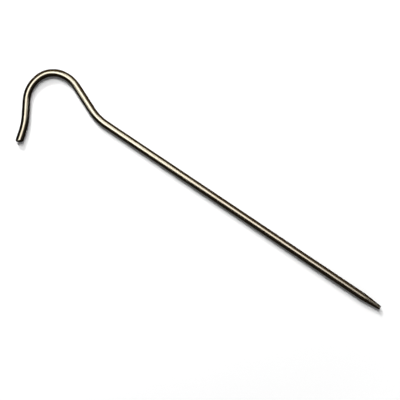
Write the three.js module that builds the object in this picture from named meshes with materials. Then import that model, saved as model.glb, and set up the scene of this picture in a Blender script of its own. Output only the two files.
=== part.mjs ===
// Shepherd's-hook tent stake: one titanium rod, bent cold into an open hook at one end and
// ground to a blunt point at the other. It lies flat, with every bend in the XY plane.
// Units are millimetres, +Z up. The shaft runs along X with the point at +X, and the hook
// curls round to the -Y side. The origin is the bottom centre of the bounding box.
import * as THREE from 'three';

// Driving dimensions. Lengths and bend radii are measured along the rod's axis.
const OVERALL_LENGTH = 165; // outside of the hook's crown to the point
const ROD_DIAMETER = 3;
const NECK_BEND_RADIUS = 20;
const NECK_BEND_DEG = 23.5;
const NECK_LENGTH = 11.1;
const CROWN_RADIUS = 9.5; // top of the hook
const CROWN_DEG = 54;
const CROWN_SIDE_RADIUS = 12; // the crown opens out a little on both sides of its top
const CROWN_NECK_SIDE_DEG = 37;
const CROWN_LEG_SIDE_DEG = 52.5;
const LEG_LENGTH = 6.4;
const FLARE_RADIUS = 24; // the end of the hook turns outwards again
const FLARE_DEG = 14;
const TAIL_LENGTH = 4.7;
const END_ROUNDING = 0.9; // edge of the cut end of the hook, tumbled round
const END_SLANT_DEG = 14; // the cut leans this much from square, longest on the outside of the hook
const POINT_LENGTH = 9;
const POINT_DIAMETER = 1.6; // flat face at the tip
const POINT_SHOULDER = 2.4; // length over which the point runs out into the shaft
const POINT_EDGE = 0.15; // small chamfer round the tip's face

// How finely the round shapes are divided.
const SIDES = 24;
const BEND_STEP_DEG = 5;
const SHOULDER_STEPS = 4;
const ROUNDING_STEPS = 4;

const rodRadius = ROD_DIAMETER / 2;
const radians = THREE.MathUtils.degToRad;

// A stretch of the rod's axis has a length and turns by so many degrees, left positive.
function straight(length) {
  return { length, turnDeg: 0 };
}

function bend(radius, turnDeg) {
  return { length: radius * radians(Math.abs(turnDeg)), turnDeg };
}

// The place reached after walking `distance` along one stretch from `start`. Over an arc the
// chord leaves at half the turned angle.
function walk(start, stretch, distance) {
  const turn = radians(stretch.turnDeg) * (distance / stretch.length);
  const chord = turn === 0 ? distance : distance * Math.sin(turn / 2) / (turn / 2);
  const chordHeading = start.heading + turn / 2;
  return {
    x: start.x + chord * Math.cos(chordHeading),
    y: start.y + chord * Math.sin(chordHeading),
    heading: start.heading + turn,
  };
}

// The hook's axis, from the inner end of the straight shaft to the hook's cut end.
const HOOK = [
  bend(NECK_BEND_RADIUS, -NECK_BEND_DEG),
  straight(NECK_LENGTH),
  bend(CROWN_SIDE_RADIUS, CROWN_NECK_SIDE_DEG),
  bend(CROWN_RADIUS, CROWN_DEG),
  bend(CROWN_SIDE_RADIUS, CROWN_LEG_SIDE_DEG),
  straight(LEG_LENGTH),
  bend(FLARE_RADIUS, -FLARE_DEG),
  straight(TAIL_LENGTH),
];

// How far the outside of the crown lies past the straight shaft. It is furthest where the
// axis, which leaves the shaft along -X, has turned to run along -Y.
function hookReach() {
  const crosswise = 1.5 * Math.PI;
  let place = { x: 0, y: 0, heading: Math.PI };
  for (const stretch of HOOK) {
    const share = (crosswise - place.heading) / radians(stretch.turnDeg);
    if (share > 0 && share <= 1) {
      return rodRadius - walk(place, stretch, stretch.length * share).x;
    }
    place = walk(place, stretch, stretch.length);
  }
  throw new Error('the hook never turns back towards the point');
}

// The whole axis, walked from the point. The shaft takes what the hook leaves of the length.
const AXIS = [straight(OVERALL_LENGTH - hookReach()), ...HOOK];
const rodLength = AXIS.reduce((sum, stretch) => sum + stretch.length, 0);

// The axis's position and heading at a distance from the point. Walking starts along -X.
function axisAt(distance) {
  let place = { x: 0, y: 0, heading: Math.PI };
  let left = distance;
  for (const stretch of AXIS) {
    const step = Math.min(left, stretch.length);
    place = walk(place, stretch, step);
    left -= step;
    if (left <= 0) break;
  }
  return place;
}

// The rod's radius at a distance from the point: a cone that eases into the shaft over the
// shoulder, then the full rod, then the rounded edge of the cut end.
const coneSlope = (rodRadius - POINT_DIAMETER / 2) / (POINT_LENGTH - POINT_SHOULDER / 2);

function radiusAt(distance) {
  const fromEnd = rodLength - distance;
  if (distance < POINT_EDGE) {
    return POINT_DIAMETER / 2 + coneSlope * distance - (POINT_EDGE - distance);
  }
  if (distance < POINT_LENGTH - POINT_SHOULDER) {
    return POINT_DIAMETER / 2 + coneSlope * distance;
  }
  if (distance < POINT_LENGTH) {
    const toShaft = POINT_LENGTH - distance;
    return rodRadius - coneSlope * toShaft ** 2 / (2 * POINT_SHOULDER);
  }
  if (fromEnd < END_ROUNDING) {
    const inset = END_ROUNDING - fromEnd;
    return rodRadius - END_ROUNDING + Math.sqrt(END_ROUNDING ** 2 - inset ** 2);
  }
  return rodRadius;
}

// How far a point beside the axis lies ahead of its ring's centre. The rings of the rounded
// edge lean with the cut; the others are square to the axis.
function leadAt(distance, sideways) {
  const onCutEnd = distance > rodLength - END_ROUNDING - 1e-6;
  return onCutEnd ? -sideways * Math.tan(radians(END_SLANT_DEG)) : 0;
}

// Distances from the point at which the rod gets a ring of vertices.
function ringDistances() {
  const distances = [0, POINT_EDGE];
  for (let i = 0; i <= SHOULDER_STEPS; i++) {
    distances.push(POINT_LENGTH - POINT_SHOULDER * (1 - i / SHOULDER_STEPS));
  }
  let start = 0;
  for (const stretch of AXIS) {
    const steps = Math.max(1, Math.ceil(Math.abs(stretch.turnDeg) / BEND_STEP_DEG));
    for (let i = 1; i <= steps; i++) {
      distances.push(start + stretch.length * i / steps);
    }
    start += stretch.length;
  }
  distances.pop(); // the last ring comes from the rounding below
  for (let i = 0; i <= ROUNDING_STEPS; i++) {
    const angle = (Math.PI / 2) * (i / ROUNDING_STEPS);
    distances.push(rodLength - END_ROUNDING * (1 - Math.sin(angle)));
  }
  return distances;
}

// A closed solid through rings about the axis, with a flat face on each end.
function rodGeometry() {
  const positions = [];
  const indices = [];
  const rings = ringDistances();
  for (const distance of rings) {
    const { x, y, heading } = axisAt(distance);
    const radius = radiusAt(distance);
    for (let side = 0; side < SIDES; side++) {
      const angle = 2 * Math.PI * side / SIDES;
      const sideways = radius * Math.cos(angle);
      const lead = leadAt(distance, sideways);
      positions.push(x + lead * Math.cos(heading) - sideways * Math.sin(heading));
      positions.push(y + lead * Math.sin(heading) + sideways * Math.cos(heading));
      positions.push(radius * Math.sin(angle));
    }
  }
  const lastRing = (rings.length - 1) * SIDES;
  const tipCentre = positions.length / 3;
  const endCentre = tipCentre + 1;
  const tip = axisAt(0);
  const end = axisAt(rodLength);
  positions.push(tip.x, tip.y, 0, end.x, end.y, 0);
  for (let side = 0; side < SIDES; side++) {
    const next = (side + 1) % SIDES;
    indices.push(tipCentre, next, side);
    indices.push(endCentre, lastRing + side, lastRing + next);
    for (let ring = 0; ring < lastRing; ring += SIDES) {
      indices.push(ring + side, ring + next, ring + SIDES + side);
      indices.push(ring + next, ring + SIDES + next, ring + SIDES + side);
    }
  }
  const geometry = new THREE.BufferGeometry();
  geometry.setAttribute('position', new THREE.Float32BufferAttribute(positions, 3));
  geometry.setIndex(indices);
  geometry.computeVertexNormals();
  return geometry;
}

const titanium = new THREE.MeshStandardMaterial({ color: 0x9a9384, metalness: 1, roughness: 0.3 });

const hookedRod = new THREE.Mesh(rodGeometry(), titanium);
hookedRod.name = 'hooked_rod';

// The rod rests on z = 0, with the origin under the middle of its bounding box.
const bounds = new THREE.Box3().setFromObject(hookedRod);
const middle = bounds.getCenter(new THREE.Vector3());
hookedRod.position.set(-middle.x, -middle.y, -bounds.min.z);

const stake = new THREE.Group();
stake.add(hookedRod);

export default stake;
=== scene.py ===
"""Looks of the hooked titanium tent stake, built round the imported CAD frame. Metres, +Z up."""
import math

import bpy
import numpy as np
from mathutils import Matrix, Vector


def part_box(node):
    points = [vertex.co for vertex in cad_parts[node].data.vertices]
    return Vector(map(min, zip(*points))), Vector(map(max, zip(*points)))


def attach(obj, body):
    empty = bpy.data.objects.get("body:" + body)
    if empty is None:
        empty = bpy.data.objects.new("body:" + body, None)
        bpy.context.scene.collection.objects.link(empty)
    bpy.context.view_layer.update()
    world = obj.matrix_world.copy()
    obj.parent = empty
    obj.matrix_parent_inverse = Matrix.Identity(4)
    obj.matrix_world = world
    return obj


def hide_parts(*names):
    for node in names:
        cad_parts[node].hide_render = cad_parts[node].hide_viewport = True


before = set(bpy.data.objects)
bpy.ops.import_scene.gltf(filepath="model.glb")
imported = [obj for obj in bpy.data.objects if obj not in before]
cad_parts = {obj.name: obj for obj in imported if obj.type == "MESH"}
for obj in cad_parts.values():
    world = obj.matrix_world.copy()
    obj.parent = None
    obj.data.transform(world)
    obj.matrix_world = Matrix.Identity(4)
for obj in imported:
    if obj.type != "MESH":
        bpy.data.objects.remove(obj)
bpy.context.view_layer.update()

MM = 0.001
ROD_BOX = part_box("hooked_rod")

# The rod's driving dimensions, the same as the CAD part's. Bend radii are to the rod's axis.
OVERALL_LENGTH = 165 * MM
ROD_RADIUS = 1.5 * MM
NECK_BEND_RADIUS = 20 * MM
NECK_BEND_DEG = 23.5
NECK_LENGTH = 11.1 * MM
CROWN_RADIUS = 9.5 * MM
CROWN_DEG = 54
CROWN_SIDE_RADIUS = 12 * MM
CROWN_NECK_SIDE_DEG = 37
CROWN_LEG_SIDE_DEG = 52.5
LEG_LENGTH = 6.4 * MM
FLARE_RADIUS = 24 * MM
FLARE_DEG = 14
TAIL_LENGTH = 4.7 * MM
END_ROUNDING = 0.9 * MM
END_SLANT_DEG = 14           # the cut leans this much from square, longest outside the hook
POINT_LENGTH = 9 * MM
TIP_RADIUS = 0.8 * MM
POINT_SHOULDER = 2.4 * MM
POINT_EDGE = 0.15 * MM

# What forming leaves on the rod.
CROWN_FLATTENING = 0.022     # share of the radius lost in the plane of the bend
NECK_FLATTENING = 0.010
FLARE_FLATTENING = 0.006
GROOVE_DEPTH = 0.0025 * MM   # turning marks round the ground point
GROOVE_PITCH = 0.31 * MM
GROOVE_RUNOUT = 2 * MM       # length over which the turning marks fade into the shaft
FLATTENING_EASE = 2 * MM     # half the length over which a bend's flattening comes and goes
FACE_DOME = 0.05 * MM        # the tumbled cut end is slightly domed

# Mesh density.
SIDES = 96
BEND_STEP_DEG = 1.0
STRAIGHT_STEP = 1.2 * MM
GROOVE_STEP = 0.06 * MM
ROUNDING_STEPS = 10
FACE_RINGS = 8


# ---- the rod's axis ---------------------------------------------------------------------

def straight(length):
    return {"length": length, "turn": 0.0, "flattening": 0.0}


def bend(radius, degrees, flattening):
    """A stretch that turns by so many degrees, left positive."""
    turn = math.radians(degrees)
    return {"length": radius * abs(turn), "turn": turn, "flattening": flattening}


def walk(place, stretch, distance):
    """The (x, y, heading) reached after a distance along one stretch."""
    x, y, heading = place
    half_turn = stretch["turn"] * distance / stretch["length"] / 2
    chord = distance if half_turn == 0 else distance * math.sin(half_turn) / half_turn
    x += chord * math.cos(heading + half_turn)
    y += chord * math.sin(heading + half_turn)
    return x, y, heading + 2 * half_turn


# From the inner end of the straight shaft to the cut end of the hook.
HOOK = [
    bend(NECK_BEND_RADIUS, -NECK_BEND_DEG, NECK_FLATTENING),
    straight(NECK_LENGTH),
    bend(CROWN_SIDE_RADIUS, CROWN_NECK_SIDE_DEG, CROWN_FLATTENING),
    bend(CROWN_RADIUS, CROWN_DEG, CROWN_FLATTENING),
    bend(CROWN_SIDE_RADIUS, CROWN_LEG_SIDE_DEG, CROWN_FLATTENING),
    straight(LEG_LENGTH),
    bend(FLARE_RADIUS, -FLARE_DEG, FLARE_FLATTENING),
    straight(TAIL_LENGTH),
]


def hook_reach():
    """How far the crown lies past the straight shaft: to where its axis runs along -Y."""
    place = (0.0, 0.0, math.pi)
    for stretch in HOOK:
        to_crosswise = 1.5 * math.pi - place[2]
        if stretch["turn"] >= to_crosswise:
            place = walk(place, stretch, stretch["length"] * to_crosswise / stretch["turn"])
            return ROD_RADIUS - place[0]
        place = walk(place, stretch, stretch["length"])


# The whole axis, walked from the point. The shaft takes what the hook leaves of the length.
AXIS = [straight(OVERALL_LENGTH - hook_reach())] + HOOK
ROD_LENGTH = sum(stretch["length"] for stretch in AXIS)


def axis_at(distance):
    """Place (x, y) and heading of the axis at a distance from the point, starting along -X."""
    place = (0.0, 0.0, math.pi)
    left = distance
    for stretch in AXIS:
        step = min(left, stretch["length"])
        place = walk(place, stretch, step)
        left -= step
        if left <= 0:
            break
    return place


def smooth(value):
    """0 to 1 as value goes from 0 to 1, easing at both ends."""
    value = min(max(value, 0.0), 1.0)
    return value * value * (3 - 2 * value)


def flattening_at(distance):
    """How much the section is flattened in the plane of the bends, easing in and out."""
    ease = FLATTENING_EASE
    total, start = 0.0, 0.0
    for stretch in AXIS:
        end = start + stretch["length"]
        rise = smooth((distance - start + ease) / (2 * ease))
        fall = smooth((end - distance + ease) / (2 * ease))
        total += stretch["flattening"] * rise * fall
        start = end
    return total


# ---- the rod's section ------------------------------------------------------------------

CONE_SLOPE = (ROD_RADIUS - TIP_RADIUS) / (POINT_LENGTH - POINT_SHOULDER / 2)


def groove_at(distance):
    """Depth of the turning marks at a distance from the point: uneven, and gone on the shaft."""
    phase = 2 * math.pi * distance / GROOVE_PITCH
    wave = math.sin(phase) + 0.6 * math.sin(1.618 * phase + 1.3) + 0.4 * math.sin(2.414 * phase)
    fade = smooth((distance - POINT_EDGE) / POINT_EDGE)
    fade *= smooth((POINT_LENGTH - distance) / GROOVE_RUNOUT)
    return GROOVE_DEPTH * fade * (0.5 + 0.25 * wave)


def radius_at(distance):
    """The rod's radius at a distance from the point, without flattening."""
    from_end = ROD_LENGTH - distance
    if distance < POINT_EDGE:
        inset = 1 - distance / POINT_EDGE
        return TIP_RADIUS + CONE_SLOPE * distance - POINT_EDGE * (1 - math.sqrt(1 - inset * inset))
    if distance < POINT_LENGTH - POINT_SHOULDER:
        return TIP_RADIUS + CONE_SLOPE * distance - groove_at(distance)
    if distance < POINT_LENGTH:
        to_shaft = POINT_LENGTH - distance
        return ROD_RADIUS - CONE_SLOPE * to_shaft ** 2 / (2 * POINT_SHOULDER) - groove_at(distance)
    if from_end < END_ROUNDING:
        inset = END_ROUNDING - from_end
        return ROD_RADIUS - END_ROUNDING + math.sqrt(max(END_ROUNDING ** 2 - inset ** 2, 0))
    return ROD_RADIUS


def lead_at(distance, sideways):
    """How far points beside the axis lie ahead of it: the rings of the cut end lean with the cut."""
    leaning = distance > ROD_LENGTH - END_ROUNDING - 1e-9
    return -sideways * math.tan(math.radians(END_SLANT_DEG)) * leaning


def steps(start, end, step):
    """Distances from start up to, but not including, end, about a step apart."""
    count = max(1, math.ceil((end - start) / step - 1e-6))
    return [start + (end - start) * i / count for i in range(count)]


def ring_distances():
    """Where the rod gets a ring of vertices, from the point to the cut end."""
    rings = [POINT_EDGE * (1 - math.cos(math.pi / 2 * i / ROUNDING_STEPS)) for i in range(ROUNDING_STEPS)]
    rings += steps(POINT_EDGE, POINT_LENGTH, GROOVE_STEP)
    start = 0.0
    for stretch in AXIS:
        end = min(start + stretch["length"], ROD_LENGTH - 2 * END_ROUNDING)
        step = STRAIGHT_STEP
        if stretch["turn"]:
            step = stretch["length"] * math.radians(BEND_STEP_DEG) / abs(stretch["turn"])
        rings += steps(max(start, POINT_LENGTH), end, step)
        start = end
    for i in range(ROUNDING_STEPS + 1):
        rings.append(ROD_LENGTH - END_ROUNDING * (1 - math.sin(math.pi / 2 * i / ROUNDING_STEPS)))
    return rings


# ---- the rod's mesh ---------------------------------------------------------------------

def ring_points(distance, radius, bulge, angles):
    """One ring: its points, and the same points with the rod unbent, for the material."""
    x, y, heading = axis_at(distance)
    sideways = radius * (1 - flattening_at(distance)) * np.cos(angles)
    up = radius * np.sin(angles)
    lead = bulge + lead_at(distance, sideways)
    bent_x = x + lead * math.cos(heading) - sideways * math.sin(heading)
    bent_y = y + lead * math.sin(heading) + sideways * math.cos(heading)
    bent = np.stack([bent_x, bent_y, up], axis=1)
    unbent = np.stack([distance + lead, sideways, up], axis=1)
    return bent, unbent


def build_rod():
    """A closed tube of rings, its two ends closed by shrinking rings and a middle point."""
    angles = 2 * math.pi * np.arange(SIDES) / SIDES
    shares = [1 - i / FACE_RINGS for i in range(1, FACE_RINGS)]
    end_radius = radius_at(ROD_LENGTH)
    tip_radius = radius_at(0.0)
    rings = [(0.0, tip_radius * share, 0.0) for share in reversed(shares)]
    rings += [(distance, radius_at(distance), 0.0) for distance in ring_distances()]
    rings += [(ROD_LENGTH, end_radius * share, FACE_DOME * (1 - share ** 2)) for share in shares]
    bent, unbent = [], []
    for distance, radius, bulge in rings:
        points, flat = ring_points(distance, radius, bulge, angles)
        bent.append(points)
        unbent.append(flat)
    for distance, bulge in ((0.0, 0.0), (ROD_LENGTH, FACE_DOME)):
        points, flat = ring_points(distance, 0.0, bulge, angles[:1])
        bent.append(points)
        unbent.append(flat)
    last = (len(rings) - 1) * SIDES
    tip_point = last + SIDES
    faces = []
    for side in range(SIDES):
        after = (side + 1) % SIDES
        faces.append((tip_point, after, side))
        faces.append((tip_point + 1, last + side, last + after))
        for ring in range(0, last, SIDES):
            faces.append((ring + side, ring + after, ring + SIDES + after, ring + SIDES + side))
    mesh = bpy.data.meshes.new("titanium_rod")
    mesh.from_pydata(place_in_frame(np.concatenate(bent)).tolist(), [], faces)
    unbent_space = mesh.attributes.new("unbent", "FLOAT_VECTOR", "POINT")
    unbent_space.data.foreach_set("vector", np.concatenate(unbent).ravel())
    mesh.shade_smooth()
    rod = bpy.data.objects.new("titanium_rod", mesh)
    bpy.context.scene.collection.objects.link(rod)
    return rod


def place_in_frame(points):
    """Puts the rod where the CAD node lies: same middle in X and Y, same lowest point."""
    low, high = (np.array(corner) for corner in ROD_BOX)
    middle = (points.min(axis=0) + points.max(axis=0)) / 2
    shift = (low + high) / 2 - middle
    shift[2] = low[2] - points[:, 2].min()
    return points + shift


# ---- materials --------------------------------------------------------------------------

class Nodes:
    """Short calls for building a material's node tree."""

    def __init__(self, material):
        material.use_nodes = True
        self.tree = material.node_tree
        self.tree.nodes.clear()

    def add(self, kind, inputs=None, **settings):
        node = self.tree.nodes.new("ShaderNode" + kind)
        for name, value in settings.items():
            setattr(node, name, value)
        for name, value in (inputs or {}).items():
            self.put(node.inputs[name], value)
        return node

    def put(self, socket, value):
        if isinstance(value, bpy.types.NodeSocket):
            self.tree.links.new(value, socket)
        else:
            socket.default_value = value

    def math(self, operation, first, second=0.0, third=0.0):
        node = self.add("Math", {0: first, 1: second, 2: third}, operation=operation)
        return node.outputs[0]

    def noise(self, place, stretch, detail=2.0, roughness=0.5):
        """Noise from 0 to 1 in the unbent rod's space, with so many features a metre each way."""
        scaled = self.add("VectorMath", {0: place, 1: stretch}, operation="MULTIPLY")
        inputs = {"Vector": scaled.outputs[0], "Scale": 1.0, "Detail": detail, "Roughness": roughness}
        return self.add("TexNoise", inputs).outputs[0]

    def ramp(self, value, low, high, out_low=0.0, out_high=1.0):
        inputs = {0: value, 1: low, 2: high, 3: out_low, 4: out_high}
        return self.add("MapRange", inputs, interpolation_type="SMOOTHSTEP").outputs[0]

    def mix_color(self, factor, first, second):
        node = self.add("Mix", data_type="RGBA")
        self.put(node.inputs[0], factor)
        self.put(node.inputs[6], first)
        self.put(node.inputs[7], second)
        return node.outputs[2]


BARE = (0.53, 0.492, 0.388, 1.0)
OXIDE = (0.45, 0.41, 0.31, 1.0)
POLISHED = (0.64, 0.605, 0.50, 1.0)
EDGE_TINT = (0.25, 0.22, 0.18, 1.0)    # how little the metal brightens at grazing angles

# Noise features a metre along, across and through the rod.
FINE_LINES = (70, 16000, 16000)
BROAD_LINES = (18, 2600, 2600)
MOTTLE = (240, 420, 420)
TURNED = (14000, 160, 160)

# Roughness is a least value and what the marks add to it.
DRAWN_LEAST, DRAWN_BY_LINES, DRAWN_BY_MOTTLE = 0.12, 0.10, 0.05
GROUND_LEAST, GROUND_BY_MARKS = 0.11, 0.08
LINE_HEIGHT, MOTTLE_HEIGHT = 0.004 * MM, 0.01 * MM


def titanium_material():
    material = bpy.data.materials.new("bare_titanium")
    n = Nodes(material)
    place = n.add("Attribute", attribute_name="unbent").outputs["Vector"]
    along = n.add("SeparateXYZ", {0: place}).outputs[0]

    fine_lines = n.noise(place, FINE_LINES, detail=3.0, roughness=0.6)
    broad_lines = n.noise(place, BROAD_LINES)
    mottle = n.noise(place, MOTTLE, detail=4.0, roughness=0.6)
    turned = n.noise(place, TURNED)
    ground = n.ramp(along, POINT_LENGTH - POINT_SHOULDER, POINT_LENGTH, 1.0, 0.0)

    oxide = n.math("MULTIPLY_ADD", mottle, 0.9, n.math("MULTIPLY", broad_lines, 0.5))
    oxide = n.ramp(oxide, 0.45, 0.95)
    color = n.mix_color(oxide, BARE, OXIDE)
    bright = n.math("MULTIPLY", n.ramp(fine_lines, 0.55, 0.75), 0.35)
    color = n.mix_color(bright, color, POLISHED)

    drawn_roughness = n.math("MULTIPLY_ADD", fine_lines, DRAWN_BY_LINES, DRAWN_LEAST)
    drawn_roughness = n.math("MULTIPLY_ADD", mottle, DRAWN_BY_MOTTLE, drawn_roughness)
    ground_roughness = n.math("MULTIPLY_ADD", turned, GROUND_BY_MARKS, GROUND_LEAST)
    roughness = n.add("Mix", {0: ground, 2: drawn_roughness, 3: ground_roughness}).outputs[0]

    height = n.add("Mix", {0: ground, 2: fine_lines, 3: turned}).outputs[0]
    line_bump = n.add("Bump", {"Height": height, "Strength": 0.6, "Distance": LINE_HEIGHT})
    inputs = {"Height": mottle, "Strength": 0.5, "Distance": MOTTLE_HEIGHT}
    inputs["Normal"] = line_bump.outputs[0]
    mottle_bump = n.add("Bump", inputs)

    shader = n.add("BsdfPrincipled", {
        "Base Color": color,
        "Metallic": 1.0,
        "Roughness": roughness,
        "Specular Tint": EDGE_TINT,
        "Normal": mottle_bump.outputs[0],
    })
    output = n.add("OutputMaterial")
    n.put(output.inputs[0], shader.outputs[0])
    return material


def floor_material():
    """White paper that glows further out, so it stays evenly pale away from the lights."""
    material = bpy.data.materials.new("pale_floor")
    n = Nodes(material)
    place = n.add("TexCoord").outputs["Object"]
    distance = n.add("VectorMath", {0: place}, operation="LENGTH").outputs["Value"]
    glow = n.ramp(distance, GLOW_FROM, GLOW_TO, 0.0, GLOW_LEVEL)
    paper = n.add("BsdfDiffuse", {"Color": PAPER})
    light = n.add("Emission", {"Strength": glow})
    both = n.add("AddShader", {0: paper.outputs[0], 1: light.outputs[0]})
    output = n.add("OutputMaterial")
    n.put(output.inputs[0], both.outputs[0])
    material.cycles.emission_sampling = "NONE"
    return material


# ---- stage, light and camera ------------------------------------------------------------

FLOOR_SIZE = 8.0
CAMERA_LENS = 85.0           # millimetres, on a 36 mm sensor
CAMERA_HEIGHT = 0.37354      # above the rod's axis, so that the stake fills the picture
CAMERA_ROLL_DEG = 33.80      # the shaft falls to the right by this much in the picture
CAMERA_AIM = (-0.36 * MM, 4.25 * MM)
GLOW_FROM, GLOW_TO = 0.06, 0.40         # distances over which the floor starts to glow
GLOW_LEVEL = 0.90
PAPER = (0.80, 0.80, 0.80, 1.0)
WORLD_FILL = 0.25                       # even light on the floor from all round
ROOM_DIM, ROOM_BRIGHT = 0.014, 0.10     # what the metal mirrors of the room beside the lamps
ROOM_BRIGHT_SIDE = (-0.57, 0.82, 0.0)
ROOM_COLOR = (1.0, 0.70, 0.45, 1.0)

# Softbox panels either light the floor or are mirrored in the metal.
FLOOR, METAL = "floor", "metal"
WHITE, WARM = (1.0, 1.0, 1.0), (1.0, 0.95, 0.965)

PANEL_HEIGHT = 0.80
OVERHEAD = {   # middle in plan, size, watts, colour, use; each faces straight down
    "near_key": ((-0.40, 0.38), (0.64, 0.23), 9.3, WHITE, FLOOR),
    "far_key": ((-1.01, 0.75), (0.40, 0.40), 35.5, WHITE, FLOOR),
    "crosswise": ((-0.22, 0.20), (0.33, 1.28), 3.75, WHITE, METAL),
    "lengthwise": ((0.05, 0.175), (0.25, 0.66), 1.04, WARM, METAL),
    "tip_fade": ((0.28, 0.175), (0.20, 0.56), 0.33, WARM, METAL),
    "hook_lift": ((-0.44, 0.26), (0.24, 0.24), 0.62, WHITE, METAL),
}
BESIDE = {     # middle; each faces the stake
    "tip_side": (0.375, 0.385, 0.38),
    "hook_side": (-0.375, -0.385, 0.38),
}
BESIDE_SIZE, BESIDE_WATTS = (0.13, 0.26), 0.115


def make_floor():
    half = FLOOR_SIZE / 2
    mesh = bpy.data.meshes.new("studio_floor")
    corners = [(-half, -half, 0), (half, -half, 0), (half, half, 0), (-half, half, 0)]
    mesh.from_pydata(corners, [], [(0, 1, 2, 3)])
    floor = bpy.data.objects.new("studio_floor", mesh)
    floor.data.materials.append(floor_material())
    floor.visible_glossy = False
    bpy.context.scene.collection.objects.link(floor)


def make_panel(name, place, facing, size, power, color, use):
    light = bpy.data.lights.new(name, "AREA")
    light.shape = "RECTANGLE"
    light.size, light.size_y = size
    light.energy = power
    light.color = color
    panel = bpy.data.objects.new(name, light)
    panel.location = place
    panel.rotation_euler = (Vector(facing) - Vector(place)).to_track_quat("-Z", "Y").to_euler()
    panel.visible_camera = False
    panel.visible_diffuse = use == FLOOR
    panel.visible_glossy = use == METAL
    bpy.context.scene.collection.objects.link(panel)


def make_world():
    """White to the camera, an even fill for the floor, and a dim warm room in the metal."""
    world = bpy.data.worlds.new("studio")
    n = Nodes(world)
    rays = n.add("LightPath")
    level = n.add("Mix", {0: rays.outputs["Is Camera Ray"], 2: WORLD_FILL, 3: 1.0}).outputs[0]
    studio = n.add("Background", {"Color": (1.0, 1.0, 1.0, 1.0), "Strength": level})
    ways = n.add("TexCoord").outputs["Generated"]
    side = n.add("VectorMath", {0: ways, 1: ROOM_BRIGHT_SIDE}, operation="DOT_PRODUCT").outputs["Value"]
    level = n.ramp(side, 0.25, 0.85, ROOM_DIM, ROOM_BRIGHT)
    room = n.add("Background", {"Color": ROOM_COLOR, "Strength": level})
    seen = {0: rays.outputs["Is Glossy Ray"], 1: studio.outputs[0], 2: room.outputs[0]}
    output = n.add("OutputWorld")
    n.put(output.inputs[0], n.add("MixShader", seen).outputs[0])
    bpy.context.scene.world = world


def make_camera():
    """Straight above the stake, rolled so that the shaft runs down to the right."""
    data = bpy.data.cameras.new("camera")
    data.lens = CAMERA_LENS
    data.sensor_width = 36.0
    data.clip_start = 0.01
    data.clip_end = 100.0
    camera = bpy.data.objects.new("camera", data)
    height = (ROD_BOX[0].z + ROD_BOX[1].z) / 2 + CAMERA_HEIGHT
    turn = Matrix.Rotation(math.radians(CAMERA_ROLL_DEG), 4, "Z")
    camera.matrix_world = Matrix.Translation((*CAMERA_AIM, height)) @ turn
    bpy.context.scene.collection.objects.link(camera)
    bpy.context.scene.camera = camera


scene = bpy.context.scene
scene.view_settings.view_transform = "Standard"
make_camera()
make_world()
make_floor()
for panel_name, (plan, *panel) in OVERHEAD.items():
    make_panel(panel_name, (*plan, PANEL_HEIGHT), (*plan, 0.0), *panel)
for panel_name, middle in BESIDE.items():
    make_panel(panel_name, middle, (0.0, 0.0, 0.0), BESIDE_SIZE, BESIDE_WATTS, WHITE, METAL)

rod = build_rod()
rod.data.materials.append(titanium_material())
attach(rod, "root")
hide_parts("hooked_rod")
